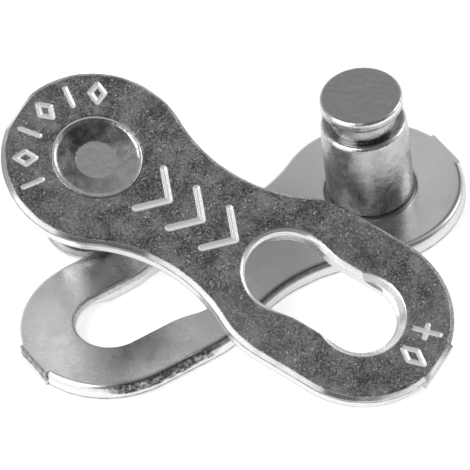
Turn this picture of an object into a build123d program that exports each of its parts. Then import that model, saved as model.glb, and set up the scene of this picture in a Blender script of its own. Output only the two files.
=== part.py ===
from build123d import *
from math import atan, degrees, pi, radians, sqrt, tan
import os

# Connecting link of a roller chain: two like half links, each an outer plate with a riveted pin.
# One half lies on its outer face with its pin upright. The other lies across it, outer face up,
# and stands on the head of its own pin and on the end of its plate, like a low bridge.
# Millimetres. The origin is on the ground, halfway from the lower pin's axis to the lower slot's
# centre. +Z is up, and the lower keyhole is towards +X.
# Each half is drawn in a frame of its own: outer face at Z = 0, pin axis on Z, keyhole towards +X.

# Chain.
pitch = 12.7

# Plate.
plate_thickness = 0.85
pin_end_radius = 3.95
slot_end_radius = 3.9
waist_half_width = 2.62
waist_from_pin = 5.05
shoulder_radius = 4.2
outer_edge_bevel = 0.18
inner_edge_radius = 0.22

# Sheared tabs, where the plate was joined to its strip, one at each end.
tab_half_width = 0.98
tab_root = 0.7
pin_tab_set_back = 0.12
slot_tab_set_back = 0.02

# Pin.
shank_radius = 1.62
body_radius = 1.825
body_length = 3.96
neck_radius = 1.44
neck_play = 0.28
head_radius = 1.755
head_thickness = 0.6
head_side = 0.4
head_back_taper = 0.145
head_edge_radius = 0.17
head_back_edge = 0.04
body_edge_radius = 0.2
base_edge = 0.05
neck_foot_radius = 0.08

# Riveted end of the pin: a dished face and a lip that fills the countersink in the plate.
rivet_radius = 1.91
rivet_angle = 45
lip_drop = 0.05
lip_width = 0.18
dish_flat_radius = 0.83
dish_depth = 0.24

# Keyhole.
entry_offset = 3.41
entry_clearance = 0.035
slot_clearance = 0.1
blend_radius = 3.5
keyhole_outer_edge = 0.15
keyhole_inner_edge = 0.14

# Tapered seat for the head at the narrow end, and the lead-in along the neck.
seat_clearance = 0.135
seat_depth = 0.34
seat_taper = 0.2
ledge_drop = 0.08
lead_in_width = 0.13
lead_in_depth = 0.3

# Ring pressed into the inner face round the foot of the pin.
foot_ring_gap = 0.04
foot_ring_width = 0.12
foot_ring_depth = 0.05

# Stamped marks on the outer face: plain strokes with no meaning.
mark_depth = 0.07
large_stroke = 0.29
small_stroke = 0.215
chevron_height = 2.2
chevron_width = 0.95
chevron_first = 2.55
chevron_step = 1.6
chevron_count = 3
arc_mark_radius = 2.95
arc_mark_height = 0.85
arc_mark_width = 0.6
arc_mark_step = 23.4
arc_mark_count = 6
end_mark_radius = 2.8
end_mark_height = 1.15
end_mark_width = 0.6
end_mark_step = 26
end_mark_start = -8

# How the upper half lies: how far its pin's top is short of the lower slot's centre, how close its
# head stands to the side of the lower plate, its heading, its sideways lean, and how many times the
# search for its slope halves its range.
upper_short_of_slot = 2.0
head_gap = 0.03
upper_heading = 118.4
upper_lean = 10.6
slope_halvings = 60

# Sizes that follow from the ones above.
entry_radius = head_radius + entry_clearance
entry_x = pitch - entry_offset
slot_radius = neck_radius + slot_clearance
seat_radius = head_radius + seat_clearance
shoulder_depth = plate_thickness + body_length
neck_length = plate_thickness - seat_depth + neck_play
head_back_radius = head_radius - head_back_taper
pin_depth = shoulder_depth + neck_length + head_thickness
pin_tab_reach = pin_end_radius - pin_tab_set_back
slot_tab_reach = slot_end_radius - slot_tab_set_back
rivet_depth = (rivet_radius - shank_radius) / tan(radians(rivet_angle))


def arc(start, end, centre):
    """Arc of under half a turn from start to end about centre."""
    middle = (start + end) / 2 - centre
    return ThreePointArc(start, centre + middle.normalized() * (start - centre).length, end)


def closed_face(half):
    """Face, turned upwards, between half an outline on +Y and its mirror image across the X axis."""
    face = Face(Wire(half + [edge.mirror(Plane.XZ) for edge in half]))
    return face if face.normal_at().Z > 0 else -face


def plate_outline():
    """Round pin end, concave waist, convex shoulders, straight sides and round slot end."""
    waist_radius = (waist_from_pin**2 + waist_half_width**2 - pin_end_radius**2) / (
        2 * (pin_end_radius - waist_half_width)
    )
    waist_centre = Vector(waist_from_pin, waist_half_width + waist_radius)
    shoulder_y = slot_end_radius - shoulder_radius
    reach = sqrt((waist_radius + shoulder_radius) ** 2 - (waist_centre.Y - shoulder_y) ** 2)
    shoulder_centre = Vector(waist_from_pin + reach, shoulder_y)
    leave_pin_end = waist_centre.normalized() * pin_end_radius
    towards_shoulder = (shoulder_centre - waist_centre).normalized()
    leave_waist = waist_centre + towards_shoulder * waist_radius
    side_start = Vector(shoulder_centre.X, slot_end_radius)
    side_end = Vector(pitch, slot_end_radius)
    half = [
        arc(Vector(-pin_end_radius, 0), leave_pin_end, Vector(0, 0)),
        arc(leave_pin_end, leave_waist, waist_centre),
        arc(leave_waist, side_start, shoulder_centre),
        Line(side_start, side_end),
        arc(side_end, Vector(pitch + slot_end_radius, 0), Vector(pitch, 0)),
    ]
    return closed_face(half)


def keyhole(grow=0.0):
    """Entry hole for the head, blended into a slot for the neck, all grown by the same amount."""
    entry = Vector(entry_x, 0)
    half_width = slot_radius + grow
    bend = blend_radius - grow
    reach = sqrt((blend_radius + entry_radius) ** 2 - (blend_radius + slot_radius) ** 2)
    bend_centre = Vector(entry_x + reach, slot_radius + blend_radius)
    leave_entry = entry + (bend_centre - entry).normalized() * (entry_radius + grow)
    half = [
        arc(Vector(entry_x - entry_radius - grow, 0), leave_entry, entry),
        arc(leave_entry, bend_centre - Vector(0, bend), bend_centre),
        Line(bend_centre - Vector(0, bend), Vector(pitch, half_width)),
        arc(Vector(pitch, half_width), Vector(pitch + half_width, 0), Vector(pitch, 0)),
    ]
    return closed_face(half)


def rim(plate, outer_face, inner_loop):
    """Edges of one rim of the plate: on its outer or inner face, of its outline or its keyhole."""
    face = plate.faces().sort_by(Axis.Z)[-1 if outer_face else 0]
    loop = face.inner_wires()[0] if inner_loop else face.outer_wire()
    return plate.edges().filter_by(lambda edge: edge in loop.edges())


def plate_blank():
    """Punched plate with its keyhole, bevelled round the outer face, before tabs and seats."""
    plate = extrude(plate_outline() - keyhole(), amount=-plate_thickness)
    plate = chamfer(rim(plate, True, False), outer_edge_bevel)
    plate = fillet(rim(plate, False, False), inner_edge_radius)
    plate = fillet(rim(plate, True, True), keyhole_outer_edge)
    return fillet(rim(plate, False, True), keyhole_inner_edge)


def tab(reach):
    """Tab of full thickness that ends in a sheared face at reach, bevelled on the outer face."""
    block = Box(tab_root, 2 * tab_half_width, plate_thickness)
    brow = block.edges().filter_by(Axis.Y).sort_by(Axis.Z)[-2:].sort_by(Axis.X)[-1]
    return Pos(reach - tab_root / 2, 0, -plate_thickness / 2) * chamfer(brow, outer_edge_bevel)


def past_tab(reach):
    """All that lies past the tab's sheared face and its bevel."""
    brow = reach - outer_edge_bevel
    far = reach + plate_thickness
    section = Polyline(
        (reach, -far),
        (reach, -outer_edge_bevel),
        (brow, 0),
        (brow, plate_thickness),
        (far, plate_thickness),
        (far, -far),
        close=True,
    )
    return extrude(Plane.XZ * make_face(section), amount=pin_end_radius, both=True)


def seat():
    """Tapered seat for the head, and the sloping ledge below it down to the slot."""
    cone = Cone(seat_radius - seat_taper, seat_radius, seat_depth)
    ledge = Cone(slot_radius, seat_radius - seat_taper, ledge_drop)
    cone = Pos(pitch, 0, -seat_depth / 2) * cone
    return cone + Pos(pitch, 0, -seat_depth - ledge_drop / 2) * ledge


def lead_in():
    """Sloping edges of the neck, from the entry hole's widest point to the seat."""
    taper = degrees(atan(lead_in_width / lead_in_depth))
    funnel = extrude(keyhole(lead_in_width), amount=-lead_in_depth, taper=taper)
    length = entry_offset - lead_in_width
    window = Box(length, 4 * seat_radius, 2 * plate_thickness)
    return funnel & Pos(entry_x + lead_in_width + length / 2, 0, 0) * window


def foot_ring():
    """Shallow ring with sloping sides round the foot of the pin, in the inner face."""
    inner = body_radius + foot_ring_gap
    outer = inner + foot_ring_width
    middle = (inner + outer) / 2
    bottom = foot_ring_depth - plate_thickness
    section = Polyline((inner, -plate_thickness), (middle, bottom), (outer, -plate_thickness), close=True)
    return revolve(Plane.XZ * make_face(section), axis=Axis.Z)


def rivet_hole():
    """Hole for the shank with the countersink that the riveted lip fills."""
    hole = Cylinder(shank_radius, 4 * plate_thickness)
    return hole + Pos(0, 0, -rivet_depth / 2) * Cone(shank_radius, rivet_radius, rivet_depth)


def stroke(start, end, width):
    """Round-ended stroke between two points."""
    run = Vector(*end) - Vector(*start)
    middle = (Vector(*start) + Vector(*end)) / 2
    turn = run.get_signed_angle(Vector(1, 0), Vector(0, 0, -1))
    return Pos(middle.X, middle.Y) * Rot(0, 0, turn) * SlotCenterToCenter(run.length, width)


def strokes(points, width):
    """Strokes that join each point to the next."""
    return [stroke(start, end, width) for start, end in zip(points, points[1:])]


def diamond(width, height, line):
    """Diamond drawn with four strokes."""
    side, tip = width / 2, height / 2
    return strokes([(0, -tip), (side, 0), (0, tip), (-side, 0), (0, -tip)], line)


def cross(width, height, line):
    """Upright cross of two strokes."""
    return [stroke((-width / 2, 0), (width / 2, 0), line), stroke((0, -height / 2), (0, height / 2), line)]


def chevron():
    """Two strokes that point towards the keyhole."""
    tip = chevron_height / 2
    return strokes([(0, -tip), (chevron_width, 0), (0, tip)], large_stroke)


def marks():
    """Chevrons along the waist, small marks in an arc round the pin and two at the slot end."""
    placed = []
    for index in range(chevron_count):
        placed += [Pos(chevron_first + index * chevron_step, 0) * line for line in chevron()]
    bar = [stroke((0, -arc_mark_height / 2), (0, arc_mark_height / 2), small_stroke)]
    for index in range(arc_mark_count):
        angle = 180 + (index - (arc_mark_count - 1) / 2) * arc_mark_step
        shape = bar if index % 2 else diamond(arc_mark_width, arc_mark_height, small_stroke)
        placed += [Rot(0, 0, angle - 90) * Pos(0, arc_mark_radius) * line for line in shape]
    pair = [diamond(end_mark_width, end_mark_height, small_stroke)]
    pair.append(cross(end_mark_width, end_mark_height, small_stroke))
    for index, shape in enumerate(pair):
        turn = Rot(0, 0, end_mark_start + index * end_mark_step - 90)
        placed += [Pos(pitch, 0) * turn * Pos(0, end_mark_radius) * line for line in shape]
    return placed


def outer_plate():
    """Outer plate of one half link, in the half's own frame."""
    plate = plate_blank()
    for turn, reach in ((0, pitch + slot_tab_reach), (180, pin_tab_reach)):
        plate = plate - Rot(0, 0, turn) * past_tab(reach) + Rot(0, 0, turn) * tab(reach)
    plate -= [rivet_hole(), seat(), lead_in(), foot_ring()]
    return plate - extrude(Sketch() + marks(), amount=-mark_depth)


def rounded(profile, corner, radius):
    """Profile with the corner nearest to the given place rounded."""
    return fillet(profile.vertices().sort_by_distance(corner)[0], radius)


def pin():
    """Turned pin of one half link, in the half's own frame: riveted end up, head down."""
    lip_top = rivet_radius - lip_drop * tan(radians(rivet_angle))
    body_end = (body_radius, -shoulder_depth)
    neck_foot = (neck_radius, -shoulder_depth)
    head_back = head_thickness - pin_depth
    head_rim = (head_radius, -pin_depth)
    head_back_rim = (head_back_radius, head_back)
    lip_crest = (lip_top - lip_width / 2, 0)
    profile = make_face(
        Polyline(
            (0, -dish_depth),
            (dish_flat_radius, -dish_depth),
            (lip_top - lip_width, -lip_drop),
            lip_crest,
            (lip_top, -lip_drop),
            (shank_radius, -rivet_depth),
            (shank_radius, -plate_thickness),
            (body_radius - base_edge, -plate_thickness),
            (body_radius, -plate_thickness - base_edge),
            body_end,
            neck_foot,
            (neck_radius, head_back),
            head_back_rim,
            (head_radius, head_side - pin_depth),
            head_rim,
            (0, -pin_depth),
            close=True,
        )
    )
    profile = rounded(profile, lip_crest, lip_width / 2)
    profile = rounded(profile, body_end, body_edge_radius)
    profile = rounded(profile, neck_foot, neck_foot_radius)
    profile = rounded(profile, head_back_rim, head_back_edge)
    profile = rounded(profile, head_rim, head_edge_radius)
    return revolve(Plane.XZ * profile, axis=Axis.Z)


def tipped(slope):
    """Turn from the upper half's own frame to the ground's."""
    return Rot(0, 0, upper_heading) * Rot(0, degrees(slope), 0) * Rot(upper_lean, 0, 0)


def direction(turn, x, y, z):
    """One direction of the half's own frame, seen from the ground."""
    return (turn * Pos(x, y, z)).position


def lowest_of_rim(slope, x, depth, radius, edge):
    """Height of the lowest point of a round rim once its half is tipped, its pin's top at zero."""
    normal = direction(tipped(slope), 0, 0, 1).Z
    centre = direction(tipped(slope), x, 0, edge - depth).Z
    return centre - sqrt(1 - normal**2) * (radius - edge) - edge


def lowest_of_slot_end(slope):
    """Height of the lowest point of the plate's far end: its rounded rim or a corner of its tab."""
    heights = [lowest_of_rim(slope, pitch, plate_thickness, slot_end_radius, inner_edge_radius)]
    for side in (-tab_half_width, tab_half_width):
        corner = direction(tipped(slope), pitch + slot_tab_reach, side, -plate_thickness)
        heights.append(corner.Z)
    return min(heights)


def resting_slope():
    """Slope at which the pin's head and the plate's far end are equally low, by halving."""
    low, high = 0.0, pi / 2
    for _ in range(slope_halvings):
        middle = (low + high) / 2
        head = lowest_of_rim(middle, 0, pin_depth, head_radius, head_edge_radius)
        if head < lowest_of_slot_end(middle):
            low = middle
        else:
            high = middle
    return low


def head_reach(slope):
    """How far the tipped head reaches along +Y from the pin's top, at its side or its back."""
    turn = tipped(slope)
    across = sqrt(1 - direction(turn, 0, 0, 1).Y ** 2)
    side = direction(turn, 0, 0, head_side - pin_depth).Y + across * head_radius
    back = direction(turn, 0, 0, head_thickness - pin_depth).Y + across * head_back_radius
    return max(side, back)


def lower_place():
    """Place of the lower half, turned over on its outer face."""
    return Pos(-pitch / 2, 0, 0) * Rot(180, 0, 0)


def upper_place():
    """Place of the upper half, from its own frame to the ground's."""
    slope = resting_slope()
    x = pitch / 2 - upper_short_of_slot
    y = -slot_end_radius - head_gap - head_reach(slope)
    z = -lowest_of_slot_end(slope)
    print("upper half: slope %.2f degrees, pin's top at %.3f %.3f %.3f" % (degrees(slope), x, y, z))
    return Pos(x, y, z) * tipped(slope)


def main():
    """Write one STEP file for each node."""
    os.makedirs("parts", exist_ok=True)
    places = {"lower": lower_place(), "upper": upper_place()}
    for name, place in places.items():
        export_step(place * outer_plate(), "parts/%s_plate.step" % name)
        export_step(place * pin(), "parts/%s_pin.step" % name)


main()
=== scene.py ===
# %% [markdown]
# # A connecting link for a roller chain
# Two like half links lie crossed. Each is a punched steel plate with a riveted pin, and each has a
# keyhole that the other half's pin slides into. The solids come from CAD and give every size. Here
# the same forms are worked out again as fine surfaces, because what the eye reads on small bright
# metal is its edges: the soft rim that punching leaves, the torn band under it, and the sloping
# sides of the stampings.

# %% Load the fixed frame
from math import atan2, cos, degrees, hypot, pi, radians, sin, sqrt

import bmesh
import bpy
import numpy as np
from mathutils import Matrix, Vector
from mathutils.geometry import delaunay_2d_cdt


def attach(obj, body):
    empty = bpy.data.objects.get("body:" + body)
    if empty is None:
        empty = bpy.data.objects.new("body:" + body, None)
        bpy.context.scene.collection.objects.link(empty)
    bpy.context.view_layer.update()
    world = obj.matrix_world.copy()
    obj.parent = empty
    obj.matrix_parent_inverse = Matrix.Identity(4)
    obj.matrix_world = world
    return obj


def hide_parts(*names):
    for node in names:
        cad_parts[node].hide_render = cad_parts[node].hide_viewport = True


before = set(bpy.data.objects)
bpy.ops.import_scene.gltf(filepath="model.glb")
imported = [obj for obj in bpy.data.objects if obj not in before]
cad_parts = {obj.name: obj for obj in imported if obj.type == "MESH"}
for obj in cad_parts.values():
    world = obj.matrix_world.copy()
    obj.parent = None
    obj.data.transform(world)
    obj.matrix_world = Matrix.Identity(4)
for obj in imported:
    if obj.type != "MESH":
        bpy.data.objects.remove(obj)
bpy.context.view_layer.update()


def in_mm(values, places=2):
    """Lengths in metres as rounded millimetres."""
    return [round(1000 * value, places) for value in values]


print("nodes:", ", ".join(sorted(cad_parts)))

# %% [markdown]
# ## Sizes
# Each half is worked out in a frame of its own, in millimetres: its outer face is at z = 0, its
# pin's axis is z and its keyhole is towards +x. These are the same sizes as the solids have.
# Depths are measured down from the outer face.

# %% Sizes of the plate
pitch = 12.7
plate_thickness = 0.85
pin_end_radius = 3.95
slot_end_radius = 3.9
waist_half_width = 2.62
waist_from_pin = 5.05
shoulder_radius = 4.2
outer_edge_bevel = 0.18
inner_edge_radius = 0.22
tab_half_width = 0.98
pin_tab_reach = pin_end_radius - 0.12
slot_tab_reach = slot_end_radius - 0.02
print("plate:", round(pitch + pin_tab_reach + slot_tab_reach, 2), "mm from tab to tab,",
      plate_thickness, "mm thick")

# %% Sizes of the keyhole
entry_radius = 1.79
entry_x = 9.29
slot_radius = 1.54
blend_radius = 3.5
seat_radius = 1.89
seat_depth = 0.34
seat_taper = 0.2
ledge_drop = 0.08
lead_in_width = 0.13
lead_in_depth = 0.3
keyhole_outer_edge = 0.25
lead_in_edge = 0.04
keyhole_inner_edge = 0.14
print("keyhole:", 2 * entry_radius, "mm entry and", 2 * slot_radius, "mm slot")

# %% Sizes of the pin
shank_radius = 1.62
body_radius = 1.825
body_end = 4.81
body_edge = 0.2
neck_foot = 0.03
neck_radius = 1.44
head_back = 5.6
head_radius = 1.755
head_back_radius = 1.61
head_side = 0.4
head_edge = 0.17
pin_depth = 6.2
rivet_radius = 1.91
rivet_depth = 0.29
lip_drop = 0.05
lip_width = 0.18
dish_flat_radius = 0.83
dish_depth = 0.24
print("pin:", 2 * body_radius, "mm thick and", pin_depth, "mm long")

# %% [markdown]
# ## Where the halves lie
# The lower half lies turned over, on its outer face. The upper half lies across it, outer face up,
# on the head of its own pin and on the end of its plate. A matrix takes each half from its own
# frame to the ground's, and turns millimetres into metres.

# %% Places of the two halves
upper_heading = 118.4
upper_slope = 19.00317
upper_lean = 10.6
upper_top = (4.35, -3.42072, 6.35919)


def turn(angle, axis):
    """Turn about one axis, by an angle in degrees."""
    return Matrix.Rotation(radians(angle), 4, axis)


metres = Matrix.Scale(0.001, 4)
lower_place = metres @ Matrix.Translation((-pitch / 2, 0, 0)) @ turn(180, "X")
upper_turn = turn(upper_heading, "Z") @ turn(upper_slope, "Y") @ turn(upper_lean, "X")
upper_place = metres @ Matrix.Translation(upper_top) @ upper_turn
print("upper pin's top, in mm:", in_mm(upper_place.translation))

# %% [markdown]
# ## Camera
# A long lens from a third of a metre away, looking down by 45 degrees and rolled a little. So long
# a lens makes the view almost parallel, as small parts are usually shown.

# %% Camera
frame_pixels = 470
focal_pixels = 8000
camera_elevation = 45.03
camera_azimuth = 62.93
camera_roll = -7.19
camera_aim = Vector((-0.686, -1.799, 0)) / 1000
camera_distance = 0.33374

camera = bpy.data.objects.new("camera", bpy.data.cameras.new("camera"))
bpy.context.scene.collection.objects.link(camera)
camera.data.sensor_width = 36
camera.data.lens = focal_pixels * camera.data.sensor_width / frame_pixels
camera.data.clip_start = 0.01
camera.data.clip_end = 20
facing = turn(camera_azimuth + 90, "Z") @ turn(90 - camera_elevation, "X") @ turn(camera_roll, "Z")
away = Matrix.Translation((0, 0, camera_distance))
camera.matrix_world = Matrix.Translation(camera_aim) @ facing @ away
bpy.context.scene.camera = camera
print("camera at, in mm:", in_mm(camera.matrix_world.translation, 1))

# %% [markdown]
# ## Meshes from grids
# A surface here is a grid of points: rows run one way, columns the other, and each cell between
# them is a face. Surfaces that share an edge share its points, so once the doubles are merged a
# piece is closed and its normals can be turned outwards.
#
# Beside its place, each point carries masks between 0 and 1, and the materials read them. On a
# plate they are polished rims painted light, in part a painted highlight, lines and bands of
# painted shade, the smooth part of a punched wall painted near white as a painted reflection, its
# torn part, stamped marks and the outer face. On a pin, wall stands for the rivet's dish and outer
# for the head's end.

# %% Grids
masks = ("rim", "crease", "wall", "torn", "stamp", "outer")


def cells(rows, columns, closed):
    """Faces of a grid whose points are numbered row by row: the four corners of each cell."""
    row = np.arange(rows - 1)[:, None]
    column = np.arange(columns if closed else columns - 1)[None, :]
    beside = (column + 1) % columns
    corners = (
        row * columns + column,
        (row + 1) * columns + column,
        (row + 1) * columns + beside,
        row * columns + beside,
    )
    return np.stack(np.broadcast_arrays(*corners), -1).reshape(-1, 4)


def surface(x, y, z, closed=True, **mask):
    """One grid of points as a surface, with its masks. Columns close on themselves where closed."""
    x, y, z = np.broadcast_arrays(x, y, z)
    values = {name: np.broadcast_to(mask.get(name, 0.0), x.shape).ravel() for name in masks}
    points = np.stack([x, y, z], -1).reshape(-1, 3)
    return {"points": points, "faces": cells(*x.shape, closed).tolist(), "masks": values}


# %% Pieces made of grids
merge_distance = 0.0004
crease_angle = 34


def piece(name, parts, place, node):
    """One closed mesh of several surfaces, put in place, that stands for a CAD node."""
    faces, start = [], 0
    for part in parts:
        faces += [[start + corner for corner in face] for face in part["faces"]]
        start += len(part["points"])
    mesh = bpy.data.meshes.new(name)
    mesh.from_pydata(np.concatenate([part["points"] for part in parts]), [], faces)
    for mask in masks:
        values = np.concatenate([part["masks"][mask] for part in parts]).astype(np.float32)
        mesh.attributes.new(mask, "FLOAT", "POINT").data.foreach_set("value", values)
    edit = bmesh.new()
    edit.from_mesh(mesh)
    bmesh.ops.remove_doubles(edit, verts=edit.verts, dist=merge_distance)
    bmesh.ops.recalc_face_normals(edit, faces=edit.faces)
    open_edges = sum(not edge.is_manifold for edge in edit.edges)
    edit.to_mesh(mesh)
    edit.free()
    mesh.shade_smooth()
    mesh.set_sharp_from_angle(angle=radians(crease_angle))
    mesh.transform(place)
    made = bpy.data.objects.new(name, mesh)
    bpy.context.scene.collection.objects.link(made)
    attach(made, "root")
    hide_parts(node)
    mesh.calc_loop_triangles()
    print(name, "has", len(mesh.loop_triangles), "triangles and", open_edges, "open edges")
    return made

# %% [markdown]
# ## Paths round the plate and the keyhole
# The outline is a chain of arcs that touch each other. It is first sampled finely, then resampled
# at an even spacing, closer where the sheared tabs have their sharp steps. The normal at each
# point is square to the line between its neighbours.

# %% Paths
fine_step = 0.004


def arc(centre, radius, start, end):
    """Points centre + radius (cos a, sin a), with a going evenly from start to end in degrees."""
    count = int(abs(radians(end - start)) * radius / fine_step)
    angle = np.radians(np.linspace(start, end, count, endpoint=False))
    return np.stack([centre[0] + radius * np.cos(angle), centre[1] + radius * np.sin(angle)], -1)


def line(start, end):
    """Points start + (end - start) t, with t running evenly from 0 to 1."""
    count = int(hypot(end[0] - start[0], end[1] - start[1]) / fine_step)
    t = np.linspace(0, 1, count, endpoint=False)[:, None]
    return np.array(start) * (1 - t) + np.array(end) * t


def mirrored(runs):
    """A closed path from its half above the x axis, run anticlockwise."""
    half = np.concatenate(runs)
    return np.concatenate([half, [[half[-1, 0], 0]], half[:0:-1] * [1, -1]])


def resampled(points, spacing, density=None):
    """The closed path at even steps of its length, or of its length times a density."""
    ahead = np.roll(points, -1, 0)
    weight = 1 if density is None else density((points + ahead) / 2)
    steps = np.hypot(*(ahead - points).T) * weight
    length = np.concatenate([[0], np.cumsum(steps)])
    at = np.linspace(0, length[-1], int(length[-1] / spacing), endpoint=False)
    around = np.concatenate([points, points[:1]])
    return np.stack([np.interp(at, length, around[:, axis]) for axis in (0, 1)], -1)


def normals(points):
    """Unit normals of a closed anticlockwise path, pointing away from what it goes round."""
    along = np.roll(points, -1, 0) - np.roll(points, 1, 0)
    along /= np.hypot(*along.T)[:, None]
    return np.stack([along[:, 1], -along[:, 0]], -1)


# %% The plate's outline
outline_step = 0.06
tab_density = 5
tab_focus = 0.08


def plate_outline():
    """Slot end, straight side, convex shoulder, concave waist and pin end: arcs and a line."""
    waist_radius = (waist_from_pin**2 + waist_half_width**2 - pin_end_radius**2) / (
        2 * (pin_end_radius - waist_half_width)
    )
    waist = (waist_from_pin, waist_half_width + waist_radius)
    shoulder_y = slot_end_radius - shoulder_radius
    reach = sqrt((waist_radius + shoulder_radius) ** 2 - (waist[1] - shoulder_y) ** 2)
    shoulder = (waist_from_pin + reach, shoulder_y)
    leave = degrees(atan2(shoulder[1] - waist[1], reach))
    meet = degrees(atan2(waist[1], waist[0]))
    runs = [
        arc((pitch, 0), slot_end_radius, 0, 90),
        line((pitch, slot_end_radius), (shoulder[0], slot_end_radius)),
        arc(shoulder, shoulder_radius, 90, leave + 180),
        arc(waist, waist_radius, leave, meet - 180),
        arc((0, 0), pin_end_radius, meet, 180),
    ]
    return mirrored(runs)


def closer_at_tabs(points):
    """Density of 1, and more at the sides of the tabs, as a bell curve of the distance to them:
    1 + density exp(-((|y| - half width) / focus)^2)."""
    at_end = (points[:, 0] < 0) | (points[:, 0] > pitch)
    side = (np.abs(points[:, 1]) - tab_half_width) / tab_focus
    return 1 + tab_density * at_end * np.exp(-(side**2))


outline = resampled(plate_outline(), outline_step, closer_at_tabs)
outline_normals = normals(outline)
print("outline:", len(outline), "points,", np.round(np.ptp(outline, axis=0), 2), "mm")

# %% The keyhole
keyhole_step = 0.05


def keyhole_path():
    """Narrow end, straight side, blend and entry hole: arcs and a line."""
    reach = sqrt((blend_radius + entry_radius) ** 2 - (blend_radius + slot_radius) ** 2)
    bend = (entry_x + reach, slot_radius + blend_radius)
    leave = degrees(atan2(bend[1], reach))
    runs = [
        arc((pitch, 0), slot_radius, 0, 90),
        line((pitch, slot_radius), (bend[0], slot_radius)),
        arc(bend, blend_radius, -90, leave - 180),
        arc((entry_x, 0), entry_radius, leave, 180),
    ]
    return mirrored(runs)


keyhole = resampled(keyhole_path(), keyhole_step)
keyhole_normals = normals(keyhole)
print("keyhole:", len(keyhole), "points,", np.round(np.ptp(keyhole, axis=0), 2), "mm")

# %% [markdown]
# ## The edge of the plate
# A punch shears the upper part of the wall smooth, tears the rest and rolls the inner face's rim
# over. The outer face's rim is bevelled. The edge is a profile carried along the outline. Its rows
# start on the outer face, go down the bevel and the wall, round the inner rim and on to the inner
# face. Each row has a distance inwards from the outline and a height, and the tabs and the torn
# band are added as small shifts along the normal.

# %% Soft steps and noise
def grain(u, v, size, seed, waves=24):
    """Soft noise of about unit size: the mean of cosines of u and v in random directions."""
    random = np.random.default_rng(seed)
    angle, phase = random.uniform(0, 2 * pi, (2, waves))
    rate = 2 * pi / (size * random.uniform(0.7, 1.6, waves))
    total = sum(
        np.cos(k * (u * cos(a) + v * sin(a)) + p) for k, a, p in zip(rate, angle, phase)
    )
    return total * sqrt(2 / waves)


def smooth(value, low, high):
    """0 below low, 1 above high, and 3 t^2 - 2 t^3 between."""
    t = np.clip((value - low) / (high - low), 0, 1)
    return t * t * (3 - 2 * t)


def fade(value, low, high):
    """1 below low, 0 above high, and smooth between."""
    return smooth(-value, -high, -low)


def near(value, high, low=0.0):
    """1 where a value is close to 0, and 0 where it is further than high."""
    return fade(np.abs(value), low, high)


# %% The sheared tabs
tab_start = 0.8
tab_side = 0.06


def tab_shift(path):
    """How far the tabs stand out: reach / cos(angle off the x axis) - radius, within the tab. A tab
    lies further along x than tab_start times its end's radius."""
    shift = np.zeros(len(path))
    for centre, radius, reach, side in (
        (0, pin_end_radius, pin_tab_reach, -1),
        (pitch, slot_end_radius, slot_tab_reach, 1),
    ):
        ahead = side * (path[:, 0] - centre)
        within = (ahead > tab_start * radius) & (np.abs(path[:, 1]) < tab_half_width)
        cosine = np.maximum(ahead / radius, tab_start / 2)
        shift += within * (reach / cosine - radius)
    return shift


def in_tab(path):
    """1 on the tabs and 0 elsewhere, over a step a little wider than the tab."""
    at_pin = path[:, 0] < -tab_start * pin_end_radius
    at_slot = path[:, 0] > pitch + tab_start * slot_end_radius
    across_tab = 1 - smooth(np.abs(path[:, 1]), tab_half_width, tab_half_width + tab_side)
    return (at_pin | at_slot) * across_tab


# %% Rows down the edge
flat_margin = 0.36
edge_softness = 0.02
quarter = np.linspace(0, pi / 2, 11)
across = np.linspace(0, 1, 6)
down = np.linspace(0, 1, 15)


def edge_rows(bevel, foot):
    """Rows of (inwards, height) down the edge, from the bevel's width and the foot's radius at each
    point. Corners are eased with the middle point of a parabola."""
    soft, cut = edge_softness, edge_softness * sqrt(0.5)
    even = 0 * bevel * foot
    slant, wall = across[:, None], down[1:-1, None]
    inwards = [
        flat_margin + (bevel + soft - flat_margin) * slant,
        bevel + (soft - cut) / 4,
        bevel - cut + (2 * cut - bevel) * slant,
        even + cut / 4,
        0 * wall + even,
        foot * (1 - np.cos(quarter[:, None])),
        foot + (flat_margin - foot) * slant[1:],
    ]
    height = [
        even + 0 * slant,
        even - cut / 4,
        -cut - (bevel - 2 * cut) * slant,
        -bevel + (cut - soft) / 4,
        -bevel - soft - (plate_thickness - bevel - soft - foot) * wall,
        -plate_thickness + foot * (1 - np.sin(quarter[:, None])),
        even - plate_thickness + 0 * slant[1:],
    ]
    return [
        np.concatenate([np.broadcast_to(row, (len(row), even.size)) for row in rows])
        for rows in (inwards, height)
    ]

# %% [markdown]
# The tear starts along a ragged line. On a deep one it starts higher, and its grains are pits. The
# bevel is polished, and on the side towards -y it carries a painted highlight. A thin line of
# painted shade lies under it, and on that side the inner rim carries a band of painted shade, with
# a darker painted line inside it near the pin.

# %% The torn band
bevel_wobble = 0.006
tear_start = 0.55
tear_rise = 0.2
tear_depth = 0.006
pit_depth = 0.012


def run_length(path):
    """Length along a closed path, as one row."""
    return np.cumsum(np.hypot(*(path - np.roll(path, 1, 0)).T))[None, :]


def torn_band(inwards, height, length, deep, seed):
    """Mask of the torn band, below its ragged line, and how far the metal is torn away there."""
    ragged = 0.025 * grain(length, 0 * length, 0.7, seed)
    ragged = ragged + 0.012 * grain(length, 0 * length, 0.2, seed + 1)
    start = -tear_start + tear_rise * deep + ragged * (0.3 + deep)
    torn = smooth(start - height, 0, 0.05) * (1 - smooth(inwards, 0.04, 0.12))
    pits = 1 + grain(length, height, 0.16, seed + 2).clip(-1)
    return torn, torn * (tear_depth + pit_depth * deep * pits)


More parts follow.
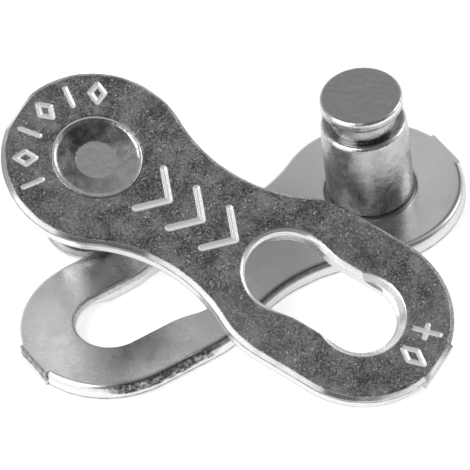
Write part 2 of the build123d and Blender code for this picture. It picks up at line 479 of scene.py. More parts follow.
# %% Wear on the edge
def edge_wear(inwards, height, bevel, length, tab, seed):
    """Masks of the edge: the bevel as rim, with a painted highlight on the side towards -y, the
    line under it and the band on the inner rim as painted shade, and the sheared part as wall."""
    x, y = outline.T[:, None, :]
    fall = -height / bevel
    # Painted highlight: the bevel is painted light only where its normal points towards -y, the
    # side that both halves turn to the camera.
    near_side_lit = smooth(-outline_normals[:, 1], -0.35, 0.15)
    rim = smooth(fall, 0.02, 0.15) * (1 - smooth(fall, 0.93, 1.05)) * near_side_lit
    # Painted shade: a thin dark line under the bevel.
    shadow = smooth(fall, 0.9, 1.05) * (1 - smooth(-height - bevel, 0.04, 0.09))
    shadow = shadow * (0.75 + 0.25 * grain(length, 0 * length, 0.5, seed + 4).clip(-1, 1))
    by_pin = (1 - smooth(x, -0.5, 2.5)) * (y < 0)
    # Painted shade: a dark band on the inner rim, on the side towards -y only, with a darker
    # painted line inside it near the pin.
    rolled = fade(inwards, flat_margin - 0.26, flat_margin) * smooth(-height, 0.61, 0.67)
    rolled = rolled * (1 - tab) * (y < 0) * (1 - smooth(x, 14.2, 15.2))
    rolled = rolled * (0.9 - 0.85 * by_pin * fade(inwards, 0.17, 0.24))
    inner_line = smooth(inwards, 0.16, 0.2) * fade(inwards, 0.23, 0.29) * (height < -0.6)
    rolled = np.maximum(rolled, 0.85 * by_pin * inner_line * (1 - tab))
    reach = inwards * (height < -0.5)
    sheared = smooth(fall, 1, 1.2) * (1 - smooth(reach, 0.03 + 0.12 * by_pin, 0.12 + 0.1 * by_pin))
    return {"rim": rim, "crease": np.maximum(shadow, rolled), "wall": sheared}


# %% The edge as a surface
def edge_band(seed, torn_from, torn_to):
    """The plate's edge: rows of (inwards, height), bent along the outline. Its torn band is deep
    where y < 0, from torn_from to torn_to in x, and on the slot's tab, and thin elsewhere."""
    x, y = outline.T[:, None, :]
    tab, length = in_tab(outline)[None, :], run_length(outline)
    bevel = outer_edge_bevel + bevel_wobble * grain(length, 0 * length, 0.9, seed + 3)
    inwards, height = edge_rows(bevel, inner_edge_radius * (1 - 0.85 * tab))
    deep = smooth(x, torn_from, torn_from + 1) * smooth(torn_to - x, 0, 0.8) * (y < 0)
    deep = np.maximum(deep, 0.8 * tab * (x > pitch) * (torn_to > 0))
    torn, tear = torn_band(inwards, height, length, deep, seed)
    at_wall = 1 - np.clip(inwards / flat_margin, 0, 1)
    shift = tab_shift(outline) * at_wall - tear - inwards
    found = edge_wear(inwards, height, bevel, length, tab, seed)
    found["torn"] = torn * (0.12 + 0.88 * deep)
    found["outer"] = smooth(height, -0.5, -0.3)
    x, y = outline.T[:, None, :] + outline_normals.T[:, None, :] * shift
    return surface(x, y, height, **found), (x, y)

# %% [markdown]
# ## The edge of the keyhole
# The keyhole's wall is another profile along a path, but its width changes with depth and place.
# Round the narrow end a tapered seat is sunk for the head of the other half's pin, with a ledge
# under it, and the sides of the neck are opened by a sloping lead-in. Both are the distance from
# the punched wall to a cone or a slope, measured along the wall's normal.

# %% Width of the seat and of the lead-in
seat_foot = seat_radius - seat_taper
seat_start = entry_x + 1.2


def seat_width(path, path_normals, depth):
    """From the wall to the seat's circle of radius R: with v from the centre to the wall and n the
    normal, the root of |v + g n| = R, which is g = -v.n + sqrt((v.n)^2 - |v|^2 + R^2)."""
    cone = seat_radius - seat_taper * depth / seat_depth
    ledge = seat_foot - (seat_foot - slot_radius) * (depth - seat_depth) / ledge_drop
    radius = np.where(depth < seat_depth, cone, ledge)
    offset = path - np.array([pitch, 0])
    outwards = (offset * path_normals).sum(-1)
    square = outwards**2 - (offset**2).sum(-1) + radius**2
    root = np.sqrt(np.maximum(square, 0)) - outwards
    return np.where((square > 0) & (path[:, 0] > seat_start), np.maximum(root, 0), 0)


def lead_in(path, depth):
    """Width of the neck's sloping sides: lead_in_width at the top, nothing at lead_in_depth."""
    slope = lead_in_width * np.clip(1 - depth / lead_in_depth, 0, 1)
    return slope * smooth(path[:, 0], entry_x - 0.05, entry_x + 0.85)


# %% The keyhole's wall
keyhole_margin = 0.3
wall_tear = 0.008


def keyhole_rows(top, foot):
    """Rows of (outwards, depth) down the wall, from the top rim's radius at each point."""
    curve, part = quarter[1:, None], np.linspace(0, 1, 8)[1:, None]
    flat = np.linspace(1, 0, 5)[:, None]
    below = seat_depth + ledge_drop
    depths = [
        0 * flat * top,
        top * (1 - np.cos(curve)),
        top + (seat_depth - top) * part,
        seat_depth + ledge_drop * part[1::2] + 0 * top,
        below + (plate_thickness - foot - below) * part + 0 * top,
        plate_thickness - foot * (1 - np.sin(curve)) + 0 * top,
        plate_thickness + 0 * flat[1:] * top,
    ]
    straight = sum(len(rows) for rows in depths[2:5])
    outwards = [
        top + (keyhole_margin - top) * flat,
        top * (1 - np.sin(curve)),
        np.zeros((straight, len(top))),
        foot * (1 - np.cos(curve)) + 0 * top,
        foot + (keyhole_margin - foot) * flat[-2::-1] + 0 * top,
    ]
    return np.concatenate(outwards), np.concatenate(depths)


def keyhole_band(seed, ragged):
    """The keyhole's wall: rows of (outwards, depth), bent along its path. The entry hole's rim is
    rolled over, and the lead-in and the seat have a small one."""
    sunk = smooth(keyhole[:, 0], entry_x - 0.4, entry_x + 0.9)
    top = keyhole_outer_edge + (lead_in_edge - keyhole_outer_edge) * sunk
    outwards, depths = keyhole_rows(top, keyhole_inner_edge)
    width = np.maximum(seat_width(keyhole, keyhole_normals, depths), lead_in(keyhole, depths))
    length = run_length(keyhole)
    torn = smooth(depths, 0.5 + 0.03 * grain(length, 0 * length, 0.5, seed), 0.6)
    torn = torn * (1 - smooth(outwards, 0.02, 0.08))
    away = width + outwards + torn * wall_tear
    x = keyhole[:, 0] + keyhole_normals[:, 0] * away
    y = keyhole[:, 1] + keyhole_normals[:, 1] * away
    rolled = 1 - smooth(outwards / top, 0.6, 1.1)
    # The rounded top rim of the keyhole is painted light through rim and near white through wall: a
    # painted highlight.
    found = {
        "rim": rolled * (depths < top),
        "wall": rolled * (depths < 0.8),
        "torn": torn * ragged,
        "outer": smooth(-depths, -0.5, -0.3),
    }
    return surface(x, y, -depths, **found), (x, y)

# %% [markdown]
# ## The rivet hole
# The pin's shank goes through a round hole. Its countersink is filled by the rivet's lip, and on
# the inner face the shoulder of the pin has pressed a shallow ring. All of it is one profile
# turned about z.

# %% A profile turned about z
ring_columns = 160


def turned(radius, height, **mask):
    """A profile of (radius, height) turned about z: x = r cos a, y = r sin a."""
    angle = np.linspace(0, 2 * pi, ring_columns, endpoint=False)
    radius, height = np.asarray(radius)[:, None], np.asarray(height)[:, None]
    mask = {name: np.reshape(value, (len(radius), -1)) for name, value in mask.items()}
    return surface(radius * np.cos(angle), radius * np.sin(angle), height, **mask)


# %% The rivet hole's profile
rivet_rim = 0.04
rivet_border = 2.3


def rivet_hole():
    """Rim, countersink, hole and the ring round the pin's foot: rows of (radius, height, outer,
    painted shade) from the outer face to the inner one. The ring's painted shade is a painted
    shadow."""
    curve = np.linspace(0, pi / 4, 5)
    rim_radius = rivet_radius + rivet_rim * (1 - np.sin(2 * curve))
    rim_height = -rivet_rim * (1 - np.cos(2 * curve)) * 0.5
    inner = -plate_thickness
    rows = [(rivet_border, 0, 1, 0), (2.15, 0, 1, 0), (2.03, 0, 1, 0)]
    rows += [(radius, height, 1, 0) for radius, height in zip(rim_radius, rim_height)]
    rows += [(shank_radius, -rivet_depth, 1, 0), (shank_radius, inner + 0.02, 0.5, 0)]
    # The rows from 1.86 to 1.925 mm carry painted shade: a painted shadow in the ring at the pin's
    # foot.
    rows += [(1.68, inner, 0, 0), (1.86, inner, 0, 1), (1.895, inner + 0.02, 0, 1)]
    rows += [(1.925, inner + 0.05, 0, 0.6), (1.955, inner + 0.02, 0, 0), (1.99, inner, 0, 0)]
    rows += [(2.1, inner, 0, 0), (rivet_border, inner, 0, 0)]
    radius, height, outer, crease = np.array(rows).T
    return turned(radius, height, crease=crease, outer=outer)

# %% [markdown]
# ## Stamped marks
# The outer face carries plain stamped strokes: chevrons along the waist, small diamonds and bars
# round the pin, and a diamond and a cross at the slot end. A stroke is a groove round a line, and
# its depth falls off with the distance to the line. They are cut into the mesh, so that they catch
# the light from low down too. Their colour is painted near white, a painted highlight.

# %% Strokes
mark_depth = 0.07
large_stroke = 0.29
small_stroke = 0.215


def polyline(points, width):
    """Strokes (x0, y0, x1, y1, width) from each point to the next."""
    return [(*start, *end, width) for start, end in zip(points, points[1:])]


def diamond(width, height):
    """Diamond of four strokes."""
    side, tip = width / 2, height / 2
    return polyline([(0, -tip), (side, 0), (0, tip), (-side, 0), (0, -tip)], small_stroke)


def cross(width, height):
    """Upright cross of two strokes."""
    flat = polyline([(-width / 2, 0), (width / 2, 0)], small_stroke)
    return flat + polyline([(0, -height / 2), (0, height / 2)], small_stroke)


def moved(strokes, angle, x, y, about=(0, 0)):
    """Strokes shifted by x and y, then turned by an angle in degrees about a point."""
    c, s = cos(radians(angle)), sin(radians(angle))

    def place(a, b):
        return about[0] + c * (a + x) - s * (b + y), about[1] + s * (a + x) + c * (b + y)

    return [(*place(x0, y0), *place(x1, y1), width) for x0, y0, x1, y1, width in strokes]


# %% Where the strokes are
chevrons, chevron_start, chevron_step = 3, 2.55, 1.6
chevron_reach, chevron_half = 0.95, 1.1
small_marks, small_mark_step, small_mark_radius = 6, 23.4, 2.95
small_width, small_height = 0.6, 0.85
end_width, end_height, end_mark_radius = 0.6, 1.15, 2.8


def all_strokes():
    """Every stroke on the outer face."""
    strokes = []
    for index in range(chevrons):
        start = chevron_start + chevron_step * index
        tip = (start + chevron_reach, 0)
        points = [(start, -chevron_half), tip, (start, chevron_half)]
        strokes += polyline(points, large_stroke)
    bar = polyline([(0, -small_height / 2), (0, small_height / 2)], small_stroke)
    for index in range(small_marks):
        shape = bar if index % 2 else diamond(small_width, small_height)
        angle = 90 + (index - (small_marks - 1) / 2) * small_mark_step
        strokes += moved(shape, angle, 0, small_mark_radius)
    for shape, angle in ((diamond, -98), (cross, -72)):
        mark = shape(end_width, end_height)
        strokes += moved(mark, angle, 0, end_mark_radius, about=(pitch, 0))
    return np.array(strokes)


strokes = all_strokes()
print("stamped strokes:", len(strokes))

# %% Depth of the stamping
def stroke_distance(points):
    """For each point, the least over all strokes of (distance to the line) / (half the width)."""
    start, end, width = strokes[:, :2], strokes[:, 2:4], strokes[:, 4]
    run = end - start
    offset = points[:, None, :] - start
    t = np.clip((offset * run).sum(-1) / (run**2).sum(-1), 0, 1)
    gap = np.linalg.norm(offset - t[..., None] * run, axis=-1)
    return (gap / (width / 2)).min(1)


def stamping(points):
    """Height of the outer face, a groove with sloping sides, and a stamp mask a little wider."""
    t = stroke_distance(points)
    return -mark_depth * (1 - smooth(t, 0.2, 1.05)), 1 - smooth(t, 0.9, 1.2)

# %% [markdown]
# ## The flat faces
# What is left of each face lies between the three edges. It is filled with triangles by a
# constrained Delaunay triangulation: the edge loops are kept as they are, a coarse lattice of
# points fills the plain parts, and a fine one lies where the strokes are.

# %% Points for a face
coarse_step = 0.16
stroke_step = 0.036
coarse_margin = 0.6 * coarse_step
stroke_margin = 0.02
fine_within = 1.75
coarse_beyond = 2.0


def lattice(step):
    """Points of a triangular lattice over the plate."""
    x = np.arange(-pin_end_radius, pitch + slot_end_radius, step)
    y = np.arange(-pin_end_radius, pin_end_radius, step * sqrt(0.75))
    grid_x, grid_y = np.meshgrid(x, y)
    grid_x = grid_x + step / 2 * (np.arange(len(y)) % 2)[:, None]
    return np.stack([grid_x.ravel(), grid_y.ravel()], -1)


def height_over(points, loop, loop_normals):
    """Signed distance to a loop: the offset from its nearest point, along that point's normal."""
    found = np.empty(len(points))
    for block in np.array_split(np.arange(len(points)), 1 + len(points) // 2000):
        offset = points[block, None, :] - loop
        nearest = (offset**2).sum(-1).argmin(1)
        chosen = offset[np.arange(len(block)), nearest]
        found[block] = (chosen * loop_normals[nearest]).sum(-1)
    return found


def inside(points, edge, hole, margin):
    """The points that lie in the face, further than a margin from each of its loops."""
    keep = height_over(points, edge, normals(edge)) < -margin
    keep &= np.hypot(*points.T) > rivet_border + margin
    points = points[keep]
    return points[height_over(points, hole, normals(hole)) > margin]


def face_points(edge, hole, marked):
    """Lattice points for a face, finer at the strokes where it is marked."""
    coarse = inside(lattice(coarse_step), edge, hole, coarse_margin)
    if not marked:
        return coarse
    fine = lattice(stroke_step)
    fine = inside(fine[stroke_distance(fine) < fine_within], edge, hole, stroke_margin)
    return np.concatenate([coarse[stroke_distance(coarse) > coarse_beyond], fine])


# %% Fill a face between its loops
def closed_edges(loops):
    """Pairs of point numbers round each loop, the loops being numbered one after another."""
    edges, start = [], 0
    for loop in loops:
        index = start + np.arange(len(loop))
        edges += np.stack([index, np.roll(index, -1)], -1).tolist()
        start += len(loop)
    return edges


def flat_face(edge, hole, height, marked):
    """A face of the plate at one height, stamped where it is marked."""
    angle = np.linspace(0, 2 * pi, ring_columns, endpoint=False)
    ring = rivet_border * np.stack([np.cos(angle), np.sin(angle)], -1)
    loops = [np.stack(edge, -1), np.stack(hole, -1), ring]
    points = np.concatenate(loops + [face_points(loops[0], loops[1], marked)])
    corners = [Vector(point) for point in points.tolist()]
    flat, _, faces, *_ = delaunay_2d_cdt(corners, closed_edges(loops), [], 1, 1e-6)
    flat, faces = np.array([tuple(point) for point in flat]), np.array(faces)
    middle = flat[faces].mean(1)
    solid = height_over(middle, loops[1], normals(loops[1])) > 0
    solid &= np.hypot(*middle.T) > rivet_border
    relief, stamp = stamping(flat) if marked else (0, 0)
    z = height + relief + np.zeros(len(flat))
    values = {name: np.zeros(len(flat)) for name in masks}
    values["stamp"] = stamp + np.zeros(len(flat))
    values["outer"] = np.full(len(flat), float(marked))
    return {"points": np.column_stack([flat, z]), "faces": faces[solid].tolist(), "masks": values}


# %% The two plates
def plate(name, place, seed, torn, ragged):
    """One outer plate: edge, keyhole, rivet hole and two faces, joined along their shared loops."""
    edge, (edge_x, edge_y) = edge_band(seed, *torn)
    hole, (hole_x, hole_y) = keyhole_band(seed + 10, ragged)
    outer = flat_face((edge_x[0], edge_y[0]), (hole_x[0], hole_y[0]), 0, True)
    inner = flat_face((edge_x[-1], edge_y[-1]), (hole_x[-1], hole_y[-1]), -plate_thickness, False)
    parts = [edge, hole, rivet_hole(), outer, inner]
    return piece(name + "_surface", parts, place, name)


lower_plate = plate("lower_plate", lower_place, 1, (9.6, 15.2), 0.45)
upper_plate = plate("upper_plate", upper_place, 2, (0, 0), 0.06)

# %% [markdown]
# ## The pins
# A pin is turned on a lathe, so it is one profile carried round its axis: the dished rivet with
# its lip, the shank in the plate, the body, the groove and the head. Corners are rounded with true
# arcs, because a corner shows as a bright line as wide as its arc.

# %% Profile of the pin
def unit(v):
    """The vector divided by its length."""
    return v / np.hypot(*v)


def rounded_line(corners, steps=9):
    """A line of (r, z, radius) with each corner an arc that touches both its sides. With h half the
    corner's angle, it starts radius / tan h along each side, and its centre is radius / sin h along
    the bisector."""
    corners = np.array(corners, float)
    runs = [corners[:1, :2]]
    for before, here, after in zip(corners, corners[1:], corners[2:]):
        back, ahead = unit(before[:2] - here[:2]), unit(after[:2] - here[:2])
        half = np.arccos(np.clip(back @ ahead, -1, 1)) / 2
        start = here[:2] + back * here[2] / np.tan(half)
        end = here[:2] + ahead * here[2] / np.tan(half)
        centre = here[:2] + unit(back + ahead) * here[2] / np.sin(half)
        sweep = pi - 2 * half
        t = np.linspace(0, 1, steps)[:, None]
        swept = np.sin((1 - t) * sweep) * (start - centre) + np.sin(t * sweep) * (end - centre)
        runs.append(centre + swept / np.sin(sweep))
    return np.concatenate(runs + [corners[-1:, :2]])


def with_steps(points, step):
    """The same line, with more points where its runs are longer than a step."""
    length = np.concatenate([[0], np.cumsum(np.hypot(*np.diff(points, axis=0).T))])
    more = np.arange(0, length[-1], step)
    clear = np.abs(more[:, None] - length).min(1) > 0.3 * step
    at = np.sort(np.concatenate([length, more[clear]]))
    return np.stack([np.interp(at, length, points[:, axis]) for axis in (0, 1)], -1)


pin_step = 0.09


def pin_profile():
    """Half section of the pin as (radius, height, corner radius), from dish to head."""
    lip = rivet_radius - lip_drop
    shank = shank_radius - 0.01
    shoulder = -plate_thickness - 0.005
    corners = [
        (0, -dish_depth, 0),
        (dish_flat_radius, -dish_depth, 0.05),
        (lip - lip_width, -lip_drop, 0.05),
        (lip - 0.4 * lip_width, -0.004, 0.08),
        (lip + 0.03, -0.025, 0.012),
        (shank, -rivet_depth, 0.02),
        (shank, shoulder, 0.005),
        (body_radius, shoulder, 0.045),
        (body_radius, -body_end, body_edge),
        (neck_radius, -body_end, neck_foot),
        (neck_radius, -head_back, 0.05),
        (head_back_radius, -head_back, 0.04),
        (head_radius, head_side - pin_depth, 0.02),
        (head_radius, -pin_depth, head_edge),
        (0, -pin_depth, 0),
    ]
    return with_steps(rounded_line(corners), pin_step)


print("points along the pin's profile:", len(pin_profile()))

# %% [markdown]
# Polish and painted light follow the pin's form. The head's rim, the body's end and the rivet's
# lip are polished and painted light, in part a painted highlight. The groove, the foot of the body
# and the back of the head are painted dark as painted shade, and so are the rivet's cone and the
# lower body, each on one side only.

# %% Polish, painted highlight and painted shade of the pin
cone_side = 205
foot_side = -15


def rim_polish_and_highlight(radius, height):
    """Mask of the head's rim, of the body's end and of the rivet's lip: polished, and painted light
    as a painted highlight in part.
    """
    head = smooth(radius, head_radius - head_edge, head_radius)
    head = head * (height < head_edge - pin_depth + 0.02)
    end = smooth(radius, 1.68, 1.76) * near(height + body_end - 0.05, 0.12)
    lip = smooth(radius, 1.76, 1.82) * smooth(height, -0.12, -0.04)
    return np.maximum(np.maximum(head, end), lip)


def pin_shade(radius, height):
    """Mask of the painted shade, a row for each point of the profile and a column for each angle.
    """
    around = np.linspace(0, 2 * pi, ring_columns, endpoint=False)
    groove = near(height + body_end - 0.02, 0.2, 0.08) * fade(radius, 1.6, 1.68)
    groove = np.maximum(groove, near(height + plate_thickness + 0.02, 0.08, 0.03))
    head_foot = near(height + pin_depth - head_side, 0.05, 0.01) * (radius > 1.7)
    groove = np.maximum(groove, 0.6 * head_foot)
    # Painted shade on one side only: the rivet's cone and the lower body are darker towards set
    # angles.
    cone = smooth(radius, 0.83, 0.88) * fade(radius, 1.6, 1.68) * (height > -0.3)
    dark = np.outer(cone, 0.525 + 0.525 * np.cos(around - radians(cone_side)))
    dark = np.maximum(0.75 * groove[:, None], dark)
    body = smooth(height, -4.6, -1.8) * (radius > shank_radius - 0.02) * (height < -plate_thickness)
    return np.maximum(dark, np.outer(body, (0.5 + 0.5 * np.cos(around - radians(foot_side))) ** 2))


# %% The two pins
def pin(name, place):
    """One pin, turned from its profile, with its masks."""
    radius, height = pin_profile().T
    found = {
        "rim": rim_polish_and_highlight(radius, height),
        "crease": pin_shade(radius, height),
        "outer": smooth(-height, pin_depth - 0.02, pin_depth - 0.004),
        "wall": fade(radius, 0.82, 0.86) * (height > -0.3),
    }
    return piece(name + "_surface", [turned(radius, height, **found)], place, name)


lower_pin = pin("lower_pin", lower_place)
upper_pin = pin("upper_pin", upper_place)

# %% [markdown]
# ## Colours and nodes
# Colours are written as sRGB hex, as one picks them on a screen, and turned to the linear values
# that light adds up in. One function adds a node with its settings and what feeds its sockets. A
# finish is a ground colour with layers over it, and what a layer covers is set by a mask of the
# mesh or by a noise pattern, whose size is that of the real grain or stain.

# %% Helpers for materials
soft = {"interpolation_type": "SMOOTHSTEP"}
times = {"operation": "MULTIPLY"}


def colour(text):
    """sRGB hex to linear RGBA: c / 12.92 up to 0.04045, and ((c + 0.055) / 1.055) ^ 2.4 above."""
    value = np.array([int(text[i:i + 2], 16) for i in (0, 2, 4)]) / 255
    value = np.where(value <= 0.04045, value / 12.92, ((value + 0.055) / 1.055) ** 2.4)
    return (*value.tolist(), 1.0)


def add(tree, kind, sockets=(), **settings):
    """One more node, of type ShaderNode + kind, with its settings. Its sockets are given by name or
    in order, and each is a value, a socket to link, or a node whose first output is linked."""
    node = tree.nodes.new("ShaderNode" + kind)
    for name, value in settings.items():
        setattr(node, name, value)
    for name, value in sockets.items() if isinstance(sockets, dict) else enumerate(sockets):
        value = value.outputs[0] if isinstance(value, bpy.types.Node) else value
        if isinstance(value, bpy.types.NodeSocket):
            tree.links.new(value, node.inputs[name])
        else:
            node.inputs[name].default_value = value
    return node


def blank(name):
    """A new material with an empty tree."""
    made = bpy.data.materials.new(name)
    made.use_nodes = True
    made.node_tree.nodes.clear()
    return made


# %% A finish in layers
def steel(name, sizes, used):
    """A new material, and by name its noises and the masks that it reads. Each noise has a size in
    millimetres, a detail and a roughness, and its scale is per metre."""
    made = blank(name)
    tree = made.node_tree
    place = add(tree, "TexCoord").outputs["Object"]
    noises, found = {}, {}
    for pattern, (size, detail, roughness) in sizes.items():
        sockets = {"Vector": place, "Scale": 1000 / size, "Detail": detail, "Roughness": roughness}
        noises[pattern] = add(tree, "TexNoise", sockets)
    for mask in used:
        found[mask] = add(tree, "Attribute", attribute_name=mask).outputs["Fac"]
    return made, noises, found


def layered(tree, ground, *layers):
    """A ground colour with layers over it, each a cover and a colour. The cover is a mask, or for a
    soft step of a pattern (pattern, low, high, cover below low, cover above high)."""
    for cover, paint in layers:
        if isinstance(cover, tuple):
            cover = add(tree, "MapRange", cover, **soft)
        paint = colour(paint) if isinstance(paint, str) else paint
        mixed = add(tree, "Mix", {0: cover, 6: ground, 7: paint}, data_type="RGBA")
        ground = mixed.outputs[2]
    return ground


print("808080 is", round(colour("808080")[0], 3), "in linear light")

# %% [markdown]
# ## Plated steel, punched and tumbled
# The plates are punched from sheet and tumbled before plating. Tumbling peppers the outer face, so
# it looks dark and grainy with bright specks, drawn twice as wide as they are so that they show.
# The inner face keeps more of the rolled sheet's smoothness. It has white streaks of painted
# reflection, and under the upper half it is darker with a painted shadow. The rims are polished and
# painted bright, in part a painted highlight, and the torn band is rough and catches the light in
# grains.

# %% Faces of the plate
plate_noises = {
    "blotches": (0.9, 5.0, 0.65),
    "fine": (0.1, 2.0, 0.7),
    "clouds": (3.5, 2.0, 0.5),
    "patches": (1.1, 4.0, 0.6),
    "specks": (0.08, 1.0, 0.5),
    "clusters": (0.35, 3.0, 0.5),
    "reflection_wisps": (1.8, 6.0, 0.6),
    "grains": (0.2, 4.0, 0.75),
    "relief": (0.16, 4.0, 0.6),
}
# Centre of the painted shadow of the upper half on the lower half's inner face, in metres.
upper_half_shadow_centre = (0.001, 0.0, 0.0)


def tumbled_face(tree, noise):
    """Dark grey in two tones, paler in clouds and patches, with bright specks in clusters."""
    mottle = add(tree, "Mix", {"Factor": 0.6, "A": noise["blotches"], "B": noise["fine"]})
    specks = add(tree, "MapRange", (noise["specks"], 0.6, 0.69, 0.0, 1.0), **soft)
    clusters = add(tree, "MapRange", (noise["clusters"], 0.34, 0.66, 0.0, 1.0), **soft)
    return layered(
        tree,
        colour("5a5a5a"),
        ((mottle, 0.38, 0.64, 0.0, 1.0), "a8a8a8"),
        ((noise["clouds"], 0.42, 0.64, 0.0, 0.3), "b0b0b0"),
        ((noise["patches"], 0.56, 0.66, 0.0, 0.35), "c0c0c0"),
        (add(tree, "Math", (specks, clusters), **times), "f0f0f0"),
    )


def rolled_sheet(tree, noise):
    """Pale grey with white streaks of painted reflection, and darker towards the middle of the
    lower half, under the upper half: a painted shadow.
    """
    place = add(tree, "TexCoord").outputs["Object"]
    away = add(tree, "VectorMath", (place, upper_half_shadow_centre), operation="DISTANCE")
    return layered(
        tree,
        colour("dadada"),
        ((noise["clouds"], 0.3, 0.7, 0.0, 1.0), "efefef"),
        ((noise["blotches"], 0.4, 0.8, 0.0, 0.3), "bebebe"),
        # Painted reflection: white streaks.
        ((noise["reflection_wisps"], 0.58, 0.74, 0.0, 0.7), "ffffff"),
        # Painted shadow of the upper half.
        ((away.outputs["Value"], 0.003, 0.0066, 0.55, 0.0), "8c8c8c"),
    )


# %% Plate material
def plate_roughness(tree, noise, mask):
    """Satin, smoother on the inner face and on the polished rims, walls and stamped marks, and matt
    where it is torn.
    """
    outside = add(tree, "MapRange", (noise["blotches"], 0.3, 0.7, 0.34, 0.46), **soft)
    rough = add(tree, "MapRange", (noise["blotches"], 0.3, 0.7, 0.22, 0.34), **soft)
    smoothed = {"outer": outside, "rim": 0.2, "wall": 0.2, "torn": 0.45, "stamp": 0.22}
    for name, value in smoothed.items():
        rough = add(tree, "Mix", {"Factor": mask[name], "A": rough, "B": value})
    return rough


def plate_steel():
    """Punched, tumbled and plated steel sheet."""
    made, noise, mask = steel("plated_steel_tumbled", plate_noises, masks)
    tree = made.node_tree
    tear = layered(tree, colour("3a3a3a"), ((noise["grains"], 0.42, 0.68, 0.0, 1.0), "d0d0d0"))
    sides = layered(
        tree,
        rolled_sheet(tree, noise),
        (mask["outer"], tumbled_face(tree, noise)),
        # Rims: polished and painted light, in part a painted highlight.
        (add(tree, "Math", (mask["rim"], 0.85), **times), "e4e4e4"),
        # Walls: painted near white, a painted reflection of the white floor.
        (mask["wall"], "f4f4f4"),
        # Painted shade: dark lines and bands on the edges and a dark ring round the pin's foot.
        (add(tree, "Math", (mask["crease"], 0.85), **times), "444444"),
        (mask["torn"], tear),
        # Stamped marks: painted near white, a painted highlight.
        (mask["stamp"], "f4f4f4"),
    )
    # Walls and stamped marks are made less metallic, so that their near white paint shows as
    # painted reflection and painted highlight.
    pale = add(tree, "Math", (mask["wall"], 0.4), **times)
    pale = add(tree, "Math", (mask["stamp"], pale), operation="MAXIMUM")
    metal = add(tree, "MapRange", (pale, 0.0, 1.0, 1.0, 0.25), **soft)
    grainy = add(tree, "Math", (mask["outer"], mask["rim"]), operation="SUBTRACT")
    grainy = add(tree, "MapRange", (grainy, 0.3, 1.0, 0.0, 1.0), **soft)
    relief = add(tree, "Math", (noise["relief"], grainy), **times)
    bumps = add(tree, "Bump", {"Height": relief, "Distance": 0.00002, "Strength": 0.6})
    rough = plate_roughness(tree, noise, mask)
    sockets = {"Base Color": sides, "Roughness": rough, "Metallic": metal, "Normal": bumps}
    shader = add(tree, "BsdfPrincipled", sockets)
    add(tree, "OutputMaterial", {"Surface": shader})
    return made


sheet_steel = plate_steel()
for made in (lower_plate, upper_plate):
    made.data.materials.append(sheet_steel)
print(sheet_steel.name, "has", len(sheet_steel.node_tree.nodes), "nodes")

# %% [markdown]
# ## Hardened steel, turned and ground
# The pins are turned, hardened and tumbled with the plates. They keep faint stains and dull
# places, the head's end is a little darker, the rims of the head and of the body are polished and
# painted light, in part a painted highlight, and the groove, the feet and one side of the cone and
# of the body are painted shade.

# %% Pin material
pin_noises = {
    "blotches": (0.45, 5.0, 0.6),
    "specks": (0.09, 1.0, 0.5),
    "relief": (0.28, 4.0, 0.6),
}
pin_masks = ("rim", "crease", "wall", "outer")


def pin_steel():
    """Turned and tumbled hardened steel."""
    made, noise, mask = steel("hardened_steel_turned", pin_noises, pin_masks)
    tree = made.node_tree
    # Painted shade, a little uneven: dark in the groove, at the feet and on one side of the cone
    # and the body.
    shade_cover = add(tree, "MapRange", (noise["blotches"], 0.3, 0.7, 0.9, 0.66), **soft)
    shade_cover = add(tree, "Math", (mask["crease"], shade_cover), **times)
    metal = layered(
        tree,
        colour("b0b0b0"),
        ((noise["blotches"], 0.3, 0.7, 0.0, 1.0), "c6c6c6"),
        ((noise["specks"], 0.66, 0.76, 0.0, 0.5), "f0f0f0"),
        (mask["outer"], "a4a4a4"),
        (mask["wall"], "cccccc"),
        (shade_cover, "4c4c4c"),
        # Rims: polished and painted light, in part a painted highlight.
        (mask["rim"], "ececec"),
    )
    rough = add(tree, "MapRange", (noise["blotches"], 0.3, 0.7, 0.2, 0.32), **soft)
    bumps = add(tree, "Bump", {"Height": noise["relief"], "Distance": 0.00003, "Strength": 0.7})
    sockets = {"Base Color": metal, "Roughness": rough, "Metallic": 1.0, "Normal": bumps}
    shader = add(tree, "BsdfPrincipled", sockets)
    add(tree, "OutputMaterial", {"Surface": shader})
    return made


ground_steel = pin_steel()
for made in (lower_pin, upper_pin):
    made.data.materials.append(ground_steel)
print(ground_steel.name, "has", len(ground_steel.node_tree.nodes), "nodes")

# %% [markdown]
# ## Floor, light and air
# The link lies on a plain white sweep in a light tent. The tent's far side is white, the rest is
# grey and the opening that one looks in through is dark, so level metal looks grey and rims look
# white. A low window at one side gives the pin its bright upright band.

# %% Floor
floor_half = 1.5
floor_drop = -0.00002


def white_floor():
    """White paper. It glows a little where the camera or a reflection sees it, so it is white."""
    made = blank("white_paper_sweep")
    tree = made.node_tree
    rays = add(tree, "LightPath").outputs
    direct = (rays["Is Camera Ray"], rays["Is Transmission Ray"])
    direct = add(tree, "Math", direct, operation="MAXIMUM")
    seen = add(tree, "Math", (direct, 0.6), **times)
    reflected = add(tree, "Math", (rays["Is Glossy Ray"], 0.45), **times)
    glow = add(tree, "Math", (seen, reflected), operation="ADD")
    paper = add(tree, "BsdfDiffuse", {"Color": colour("f4f4f4")})
    light = add(tree, "Emission", {"Color": colour("ffffff"), "Strength": glow})
    add(tree, "OutputMaterial", {"Surface": add(tree, "AddShader", (paper, light))})
    return made


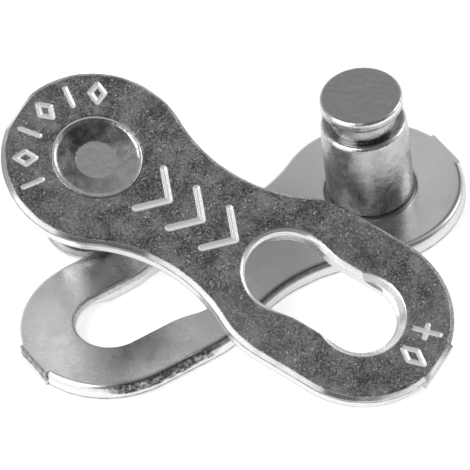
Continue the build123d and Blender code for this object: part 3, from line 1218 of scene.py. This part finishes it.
floor_mesh = bpy.data.meshes.new("floor")
square = ((-1, -1), (1, -1), (1, 1), (-1, 1))
corners = [(x * floor_half, y * floor_half, floor_drop) for x, y in square]
floor_mesh.from_pydata(corners, [], [(0, 1, 2, 3)])
floor_mesh.materials.append(white_floor())
floor = bpy.data.objects.new("floor", floor_mesh)
bpy.context.scene.collection.objects.link(floor)

# %% World
def toward(azimuth, elevation):
    """Unit vector at an azimuth and an elevation, in degrees."""
    a, e = radians(azimuth), radians(elevation)
    return Vector((cos(e) * cos(a), cos(e) * sin(a), sin(e)))


opening = toward(camera_azimuth, 30)
window = toward(8, 17)
world = bpy.data.worlds.new("light_tent")
bpy.context.scene.world = world
world.use_nodes = True
tree = world.node_tree
tree.nodes.clear()
ray = add(tree, "TexCoord").outputs["Generated"]
to_opening, to_window = (
    add(tree, "VectorMath", (ray, aim), operation="DOT_PRODUCT").outputs["Value"]
    for aim in (opening, window)
)
tent = add(tree, "MapRange", (to_opening, -0.75, -0.2, 1.0, 0.46), **soft)
dark = add(tree, "MapRange", (to_opening, 0.36, 0.62, 1.0, 0.25), **soft)
bright = add(tree, "MapRange", (to_window, 0.87, 0.95, 0.0, 1.2), **soft)
level = add(tree, "Math", (tent, dark), **times)
level = add(tree, "Math", (level, bright), operation="ADD")
sky = add(tree, "Background", {"Color": colour("ffffff"), "Strength": level})
add(tree, "OutputWorld", {"Surface": sky})
bpy.context.scene.view_settings.view_transform = "Standard"
print("light tent:", len(tree.nodes), "nodes")

# %% Two soft boxes
lamp_distance = 0.6


def soft_box(name, azimuth, elevation, size, level):
    """A square lamp that faces the link, of a brightness level: power = pi x area x level."""
    lamp = bpy.data.lights.new(name, "AREA")
    lamp.shape = "RECTANGLE"
    lamp.size, lamp.size_y = size, size
    lamp.energy = pi * size * size * level
    made = bpy.data.objects.new(name, lamp)
    ahead = toward(azimuth, elevation)
    facing = ahead.to_track_quat("Z", "Y").to_matrix().to_4x4()
    made.matrix_world = Matrix.Translation(ahead * lamp_distance) @ facing
    bpy.context.scene.collection.objects.link(made)
    print(name, "gives", round(lamp.energy, 2), "W")


soft_box("left_soft_box", -4, 52, 0.36, 4.5)
soft_box("right_soft_box", 170, 33, 0.26, 2.4)
